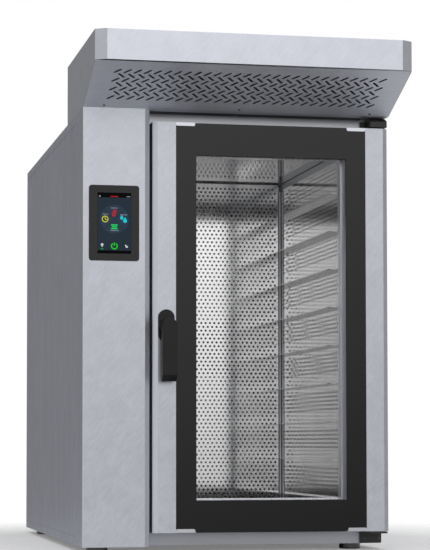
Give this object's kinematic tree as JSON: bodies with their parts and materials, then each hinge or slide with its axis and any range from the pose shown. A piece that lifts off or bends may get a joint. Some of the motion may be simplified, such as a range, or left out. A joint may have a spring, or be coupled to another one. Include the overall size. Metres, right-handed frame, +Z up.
{
  "type": "pastry oven",
  "caption": "Freestanding convection pastry oven: touch-panel column on the left, full-height glass door with a turning lever, tray rails, and a slotted steam hood on top.",
  "frame": {"origin": "centre of the bounding box's footprint, on the surface the feet stand on", "axes": "+X to the right seen from the front, the door faces -Y, +Z up"},
  "size_m": [0.805, 1.468, 1.325],
  "materials": {
    "satin_steel": "diagonally brushed satin sheet",
    "side_steel": "vertical grain satin sheet",
    "inner_steel": "plain sheet",
    "cavity_steel": "mirror-polished sheet",
    "rail_steel": "polished sheet",
    "mineral_wool": "fibrous slab",
    "motor_metal": "painted casting",
    "fan_steel": "welded sheet",
    "heater_alloy": "heat-darkened tube",
    "lamp_glass": "frosted dome",
    "gasket_silicone": "soft moulding",
    "bezel_plastic": "fine satin moulding",
    "display_glass": "backlit panel",
    "control_plastic": "moulded",
    "fan_plastic": "moulded",
    "gland_nylon": "moulded",
    "valve_brass": "machined",
    "pipe_steel": "drawn tube",
    "black_metal": "satin black",
    "screw_steel": "black oxide",
    "foot_black": "glossy black chrome",
    "outer_glass": "toughened float glass",
    "inner_glass": "toughened float glass",
    "black_enamel": "fired black border print",
    "clip_steel": "polished sheet",
    "bush_bronze": "sintered",
    "handle_black": "satin moulding",
    "latch_steel": "zinc plated",
    "reveal_steel": "bright sheet"
  },
  "bodies": {
    "cabinet": {"base_pan": "inner_steel", "left_side_panel": "side_steel", "right_side_panel": "side_steel", "rear_panel": "side_steel", "roof_panel": "satin_steel", "column_front": "satin_steel", "front_rails": "satin_steel", "front_posts": "satin_steel", "column_divider": "inner_steel", "cavity_ceiling": "cavity_steel", "cavity_floor": "cavity_steel", "cavity_wall_left": "cavity_steel", "cavity_wall_right": "cavity_steel", "cavity_wall_rear": "cavity_steel", "rack_panel_left": "cavity_steel", "rack_panel_right": "cavity_steel", "tray_rails": "rail_steel", "diffuser_panel": "cavity_steel", "insulation_slabs": "mineral_wool", "motor_plate": "inner_steel", "fan_motors": "motor_metal", "heater_rings": "heater_alloy", "cavity_lamp": "lamp_glass", "door_gasket": "gasket_silicone", "touch_bezel": "bezel_plastic", "touch_display": "display_glass", "controller_box": "control_plastic", "power_board": "control_plastic", "column_fan_frame": "fan_plastic", "cable_gland": "gland_nylon", "water_valve": "valve_brass", "steam_pipe": "pipe_steel", "drain_pipe": "pipe_steel", "vent_pipe": "pipe_steel", "hinge_bracket_top": "black_metal", "hinge_bracket_bottom": "black_metal", "latch_keeper": "latch_steel", "feet": "foot_black", "panel_screws": "screw_steel", "hood_shell": "satin_steel", "hood_intake_plate": "side_steel", "hood_fan_housing": "inner_steel"},
    "door": {"door_stile_left": "satin_steel", "door_stile_right": "satin_steel", "door_rails": "black_metal", "door_outer_glass": "outer_glass", "door_glass_border": "black_enamel", "door_inner_frame": "reveal_steel", "door_inner_glass": "inner_glass", "glass_clips": "clip_steel", "door_hinge_bushes": "bush_bronze", "handle_escutcheon": "handle_black"},
    "handle": {"handle_lever": "handle_black", "latch_spindle": "latch_steel"},
    "impeller_upper": {"impeller_upper": "fan_steel"},
    "impeller_lower": {"impeller_lower": "fan_steel"},
    "column_fan": {"column_fan_rotor": "fan_plastic"},
    "hood_blower": {"hood_fan_rotor": "fan_plastic"},
    "vent_damper": {"vent_damper": "pipe_steel"}
  },
  "joints": [
    {"name": "door_hinge", "type": "hinge", "parent": "cabinet", "child": "door", "pos_m": [0.3875, -0.475, 0.575], "axis": [0, 0, 1], "range_deg": [0, 125]},
    {"name": "handle_turn", "type": "hinge", "parent": "door", "child": "handle", "pos_m": [-0.186, -0.52, 0.575], "axis": [0, -1, 0], "range_deg": [0, 90]},
    {"name": "impeller_upper_spin", "type": "hinge", "parent": "cabinet", "child": "impeller_upper", "pos_m": [0.0905, 0.33, 0.805], "axis": [0, 1, 0], "continuous": true},
    {"name": "impeller_lower_spin", "type": "hinge", "parent": "cabinet", "child": "impeller_lower", "pos_m": [0.0905, 0.33, 0.318], "axis": [0, 1, 0], "continuous": true},
    {"name": "column_fan_spin", "type": "hinge", "parent": "cabinet", "child": "column_fan", "pos_m": [-0.3125, 0.685, 0.135], "axis": [0, 1, 0], "continuous": true},
    {"name": "hood_blower_spin", "type": "hinge", "parent": "cabinet", "child": "hood_blower", "pos_m": [0, -0.37, 1.245], "axis": [0, 0, 1], "continuous": true},
    {"name": "vent_damper_turn", "type": "hinge", "parent": "cabinet", "child": "vent_damper", "pos_m": [0.2375, -0.32, 1.145], "axis": [1, 0, 0], "range_deg": [0, 90]}
  ]
}
